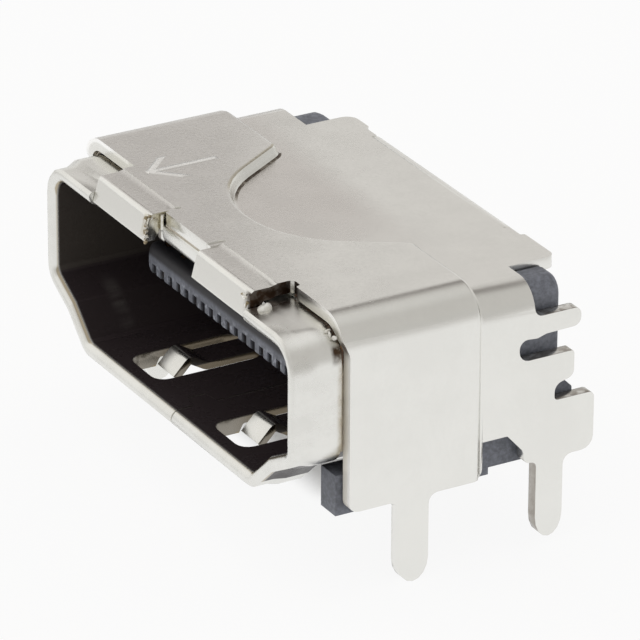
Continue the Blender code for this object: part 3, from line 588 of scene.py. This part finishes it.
# a range of heights or widths goes from no cover to full cover
slitBeadLook = {
    "dark": (0.10, 0.055, 0.032), "brown": (0.17, 0.10, 0.06), "rust": (0.42, 0.24, 0.11),
    "pale": (0.50, 0.45, 0.36), "palest": (0.62, 0.57, 0.48), "patches": 4200.0, "rough": 0.6,
    "rustLow": (-0.1 * mm, 0.1 * mm), "rustHigh": (0.5 * mm, 0.3 * mm), "paleRise": (-0.4 * mm, -0.7 * mm),
    "palestX": (1.6 * mm, 1.2 * mm),
}


# dark brown above, rust-coloured round the bend, pale down the walls and on the left
def makeSlitBeads():
    look = slitBeadLook
    finish = Finish("slitBeads")
    patches = finish.noise(look["patches"]).ramp(0.4, 0.62)
    rise = finish.measures()[1]
    rust = rise.ramp(*look["rustLow"]) * rise.ramp(*look["rustHigh"])
    tint = finish.layered(
        look["dark"], (patches, look["brown"]), (rust * (0.5 + 0.5 * patches), look["rust"]),
        (rise.ramp(*look["paleRise"]), look["pale"]), (finish.x.ramp(*look["palestX"]), look["palest"]))
    return finish.wear(Base_Color=tint, Roughness=look["rough"])


burrLook = {
    "light": (0.93, 0.92, 0.88), "dull": (0.82, 0.80, 0.74), "patches": 4800.0, "metallic": 0.2, "rough": 0.45,
}


# flattened burrs catch the light all over
def makePaleBurr():
    look = burrLook
    finish = Finish("paleBurr")
    patches = finish.noise(look["patches"], 2.0, 0.5).ramp(0.4, 0.6)
    return finish.wear(Base_Color=finish.mix(patches, look["light"], look["dull"]), Metallic=look["metallic"],
                       Roughness=look["rough"])


bareSteel = makeBareSteel()
paleBurr = makePaleBurr()
slitBeads = makeSlitBeads()
leftShear = {
    "Count": 22, "Size": 0.07 * mm, "Spread": 0.05 * mm, "Seed": 4,
    "edge": [(-1.44 * mm, 0.42 * mm, 0.86 * mm), (-1.42 * mm, 0.13 * mm, 0.86 * mm),
             (-1.42 * mm, 0.12 * mm, 0.1 * mm)],
}
rightShear = {
    "Count": 7, "Size": 0.075 * mm, "Spread": 0.06 * mm, "Seed": 9,
    "edge": [(4.5 * mm, 0.16 * mm, 0.9 * mm), (4.58 * mm, 0.14 * mm, 0.55 * mm)],
}
curl = {
    "Count": 2, "Size": 0.18 * mm, "Spread": 0.0, "Seed": 14,
    "edge": [(4.86 * mm, 0.55 * mm, 0.47 * mm), (4.93 * mm, 0.66 * mm, 0.47 * mm)],
}
# the slit between the collar and the outer sheet: its lower end, its bend of radius inner, its end at the hook
slit = {
    "Count": 80, "Size": 0.052 * mm, "Seed": 7, "depth": 1.67 * mm, "low": -3.2 * mm, "inner": 0.57 * mm,
    "bendX": 6.77 * mm, "bendSteps": 10, "start": 4.75 * mm,
}
centreSlit = {"Count": 30, "Size": 0.045 * mm, "Seed": 8, "depth": 0.76 * mm, "rise": 0.575 * mm, "half": 1.22 * mm}
posts = {
    "Count": 8, "Size": 0.075 * mm, "Seed": 5,
    "leftPost": [(-1.36 * mm, 0.68 * mm, 0.42 * mm), (-1.36 * mm, 0.68 * mm, 0.88 * mm)],
    "rightPost": [(5.0 * mm, 1.6 * mm, 0.52 * mm), (5.0 * mm, 1.6 * mm, 0.66 * mm)],
}
relief = {
    "inner": 1.24 * mm, "outer": 1.43 * mm, "near": 0.74 * mm, "nearLeft": 0.89 * mm, "far": 1.29 * mm,
    "low": 0.66 * mm, "top": 0.965 * mm,
}
cornerShear = {
    "Count": 3, "Size": 0.12 * mm, "Spread": 0.02 * mm, "Seed": 3,
    "edge": [(7.0 * mm, 1.38 * mm, 0.47 * mm), (7.33 * mm, 1.42 * mm, 0.36 * mm)],
}


# closes the relief slots beside the hooks, which the photographed pressing has squeezed shut
def reliefFill(name, side, near):
    low, high = sorted((side * relief["inner"], side * relief["outer"]))
    shape = bmesh.new()
    bmesh.ops.create_cube(shape, size=1.0)
    size = Vector((high - low, relief["far"] - near, relief["top"] - relief["low"]))
    middle = Vector((0.5 * (low + high), place["front"] + 0.5 * (near + relief["far"]),
                     place["mouthTop"] + 0.5 * (relief["low"] + relief["top"])))
    bmesh.ops.transform(shape, matrix=Matrix.Translation(middle) @ Matrix.Diagonal((*size, 1.0)), verts=shape.verts)
    mesh = bpy.data.meshes.new(name)
    shape.to_mesh(mesh)
    shape.free()
    mesh.materials.append(outerNickel)
    piece = bpy.data.objects.new(name, mesh)
    bpy.context.scene.collection.objects.link(piece)
    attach(piece, "root")


# up along the side, round the bend and to the hook
def slitPath(side):
    depth, inner = slit["depth"], slit["inner"]
    spots = [(side * (slit["bendX"] + inner), depth, slit["low"])]
    for step in range(slit["bendSteps"] + 1):
        turn = 0.5 * math.pi * step / slit["bendSteps"]
        spots.append((side * (slit["bendX"] + inner * math.cos(turn)), depth, inner * math.sin(turn)))
    return spots + [(side * slit["start"], depth, inner)]


def chosen(values, keys):
    return {key: values[key] for key in keys}


lumpKeys = ("Count", "Size", "Spread", "Seed")
beadKeys = ("Count", "Size", "Seed")
lumps = lumpTree(chosen(leftShear, lumpKeys), bareSteel)
for pieceName, values in (("leftShearLumps", leftShear), ("rightShearLumps", rightShear)):
    pathPiece(pieceName, lumps, chosen(values, lumpKeys), values["edge"])
curls = lumpTree(chosen(curl, lumpKeys), paleBurr)
for pieceName, values in (("rightShearCurl", curl), ("cornerShearLumps", cornerShear)):
    pathPiece(pieceName, curls, chosen(values, lumpKeys), values["edge"])
beads = beadTree(chosen(slit, beadKeys), slitBeads)
pathPiece("rightSlitBead", beads, chosen(slit, beadKeys), slitPath(1))
pathPiece("leftSlitBead", beads, chosen(slit, beadKeys), slitPath(-1))
pathPiece("centreSlitBead", beads, chosen(centreSlit, beadKeys),
          [(side * centreSlit["half"], centreSlit["depth"], centreSlit["rise"]) for side in (-1, 1)])
bars = beadTree(chosen(posts, beadKeys), outerNickel)
for pieceName in ("leftPost", "rightPost"):
    pathPiece(pieceName, bars, chosen(posts, beadKeys), posts[pieceName])
reliefFill("leftReliefFill", -1, relief["nearLeft"])
reliefFill("rightReliefFill", 1, relief["near"])
print("sheared edges and tarnish made")


studio = {
    "floorColour": (0.93, 0.93, 0.93), "floorHeight": -0.02 * mm, "floorHalf": 2.0, "floorRough": 0.9,
    "floorGlow": 0.9, "nearGlow": 12.0 * mm, "farGlow": 80.0 * mm, "glowLoss": 0.9,
    # painted shade under the tube, seen through its windows: the floor's glow is cut in this patch, which shows the
    # part's real shadow and also darkens the floor around it
    "shadeLeft": (-6.4 * mm, -5.0 * mm), "shadeRight": (2.4 * mm, 1.4 * mm), "shadeFront": (-1.2 * mm, 0.2 * mm),
    "shadeBack": (4.4 * mm, 3.2 * mm), "shadeLoss": 0.9,
    # the tent's brightness from below (0) to above (1): on the left, behind on the left, on the right
    "left": ((0.0, (0.95, 0.95, 0.94)), (0.36, (1.0, 0.985, 0.96)), (0.7, (0.95, 0.935, 0.91)),
             (1.0, (0.95, 0.94, 0.93))),
    "leftBack": ((0.0, (0.90, 0.90, 0.89)), (0.36, (0.775, 0.755, 0.735)), (0.52, (0.745, 0.72, 0.70)),
                 (0.57, (0.56, 0.54, 0.515)), (0.61, (0.20, 0.185, 0.175)), (0.695, (0.20, 0.185, 0.175)),
                 (0.78, (0.54, 0.52, 0.50)), (0.88, (0.72, 0.705, 0.685)), (1.0, (0.95, 0.94, 0.93))),
    "right": ((0.0, (0.62, 0.61, 0.595)), (0.2, (0.62, 0.61, 0.59)), (0.5, (0.62, 0.605, 0.585)),
              (0.8, (0.60, 0.585, 0.565)), (0.9, (0.72, 0.71, 0.69)), (1.0, (0.95, 0.94, 0.93))),
    "behind": (0.12, 0.26), "rightward": (-0.35, 0.05), "seen": (0.97, 0.97, 0.97),
    "key": 0.012, "keySize": 0.12, "keySpot": (0.10, -0.16, 0.22), "keyAim": (0.0, 0.0, 0.004),
}


def makeFloor():
    shape = bmesh.new()
    bmesh.ops.create_grid(shape, x_segments=1, y_segments=1, size=studio["floorHalf"])
    mesh = bpy.data.meshes.new("floor")
    shape.to_mesh(mesh)
    shape.free()
    mesh.transform(Matrix.Translation((0, 0, studio["floorHeight"])))
    finish = Finish("paleFloor")
    paths = finish.add("ShaderNodeLightPath")
    seen = Value(finish.tree, paths.outputs["Is Camera Ray"])
    lit = finish.add("ShaderNodeEmission", Color=(1, 1, 1, 1), Strength=1.0)
    finish.wear(Base_Color=(*studio["floorColour"], 1.0), Roughness=studio["floorRough"])
    mixer = finish.add("ShaderNodeMixShader")
    mirrored = Value(finish.tree, paths.outputs["Is Glossy Ray"])
    # painted shade: the patch under the tube where the floor's glow is cut
    under = (finish.x.ramp(*studio["shadeLeft"]) * finish.x.ramp(*studio["shadeRight"])
             * finish.y.ramp(*studio["shadeFront"]) * finish.y.ramp(*studio["shadeBack"]))
    far = (finish.x * finish.x + finish.y * finish.y).root().ramp(studio["nearGlow"], studio["farGlow"])
    glow = seen.larger(mirrored * (1.0 - studio["glowLoss"] * far)) * studio["floorGlow"]
    glow = glow * (1.0 - studio["shadeLoss"] * under)
    finish.tree.links.new(glow.socket, mixer.inputs[0])
    finish.tree.links.new(finish.shader.outputs[0], mixer.inputs[1])
    finish.tree.links.new(lit.outputs[0], mixer.inputs[2])
    finish.tree.links.new(mixer.outputs[0], finish.tree.nodes["Material Output"].inputs[0])
    mesh.materials.append(finish.material)
    floor = bpy.data.objects.new("floor", mesh)
    bpy.context.scene.collection.objects.link(floor)


# a soft tent: bright above and low down on the left, duller on the right, with the dark gap between
# its panels that the folds mirror
def makeWorld():
    world = bpy.data.worlds.new("studio")
    bpy.context.scene.world = world
    world.use_nodes = True
    tree = world.node_tree
    where = tree.nodes.new("ShaderNodeTexCoord")
    split = tree.nodes.new("ShaderNodeSeparateXYZ")
    tree.links.new(where.outputs["Generated"], split.inputs[0])
    fields = {}
    for key in ("left", "leftBack", "right"):
        ramp = tree.nodes.new("ShaderNodeValToRGB")
        stops = ramp.color_ramp.elements
        while len(stops) < len(studio[key]):
            stops.new(0.5)
        for stop, (height, colour) in zip(stops, studio[key]):
            stop.position = height
            stop.color = (*colour, 1.0)
        tree.links.new(split.outputs[2], ramp.inputs[0])
        fields[key] = ramp.outputs[0]
    behind = Value(tree, split.outputs[1]).ramp(*studio["behind"])
    rightward = Value(tree, split.outputs[0]).ramp(*studio["rightward"])
    for factor, first, second in ((behind, "left", "leftBack"), (rightward, "mixed", "right")):
        mixer = tree.nodes.new("ShaderNodeMix")
        mixer.data_type = "RGBA"
        tree.links.new(factor.socket, mixer.inputs[0])
        tree.links.new(fields[first], mixer.inputs[6])
        tree.links.new(fields[second], mixer.inputs[7])
        fields["mixed"] = mixer.outputs[2]
    # the camera itself sees a white studio
    paths = tree.nodes.new("ShaderNodeLightPath")
    mixer = tree.nodes.new("ShaderNodeMix")
    mixer.data_type = "RGBA"
    tree.links.new(paths.outputs["Is Camera Ray"], mixer.inputs[0])
    tree.links.new(fields["mixed"], mixer.inputs[6])
    mixer.inputs[7].default_value = (*studio["seen"], 1.0)
    tree.links.new(mixer.outputs[2], tree.nodes["Background"].inputs[0])
    tree.nodes["Background"].inputs[1].default_value = 1.0


def makeLamp():
    lamp = bpy.data.lights.new("key", "AREA")
    lamp.energy = studio["key"]
    lamp.size = studio["keySize"]
    item = bpy.data.objects.new("key", lamp)
    item.location = studio["keySpot"]
    aim = Vector(studio["keyAim"]) - Vector(studio["keySpot"])
    item.rotation_euler = aim.to_track_quat("-Z", "Y").to_euler()
    bpy.context.scene.collection.objects.link(item)


# the camera fitted to the photo, its focus in the photo's pixels
view = {
    "azimuth": 60.21209, "elevation": 25.16134, "roll": 0.29082, "distance": 170.0 * mm,
    "across": 4.47382 * mm, "up": -1.5954 * mm, "focus": 5926.2566, "pixels": 640.0, "sensor": 36.0,
    "clipStart": 0.001,
}


def makeCamera():
    turn, rise, roll = (math.radians(view[key]) for key in ("azimuth", "elevation", "roll"))
    back = Vector((math.sin(turn) * math.cos(rise), -math.cos(turn) * math.cos(rise), math.sin(rise)))
    right = Vector((math.cos(turn), math.sin(turn), 0.0))
    top = back.cross(right)
    rolledRight = right * math.cos(roll) + top * math.sin(roll)
    rolledTop = top * math.cos(roll) - right * math.sin(roll)
    camera = bpy.data.cameras.new("camera")
    camera.sensor_width = view["sensor"]
    camera.lens = view["focus"] * view["sensor"] / view["pixels"]
    camera.clip_start = view["clipStart"]
    item = bpy.data.objects.new("camera", camera)
    origin = Vector((0.0, place["front"], place["mouthTop"]))
    spot = origin + rolledRight * view["across"] + rolledTop * view["up"] + back * view["distance"]
    item.matrix_world = Matrix.Translation(spot) @ Matrix((rolledRight, rolledTop, back)).transposed().to_4x4()
    bpy.context.scene.collection.objects.link(item)
    bpy.context.scene.camera = item


makeFloor()
makeWorld()
makeLamp()
makeCamera()
bpy.context.scene.view_settings.view_transform = "Standard"
print("floor, lamps and camera made")
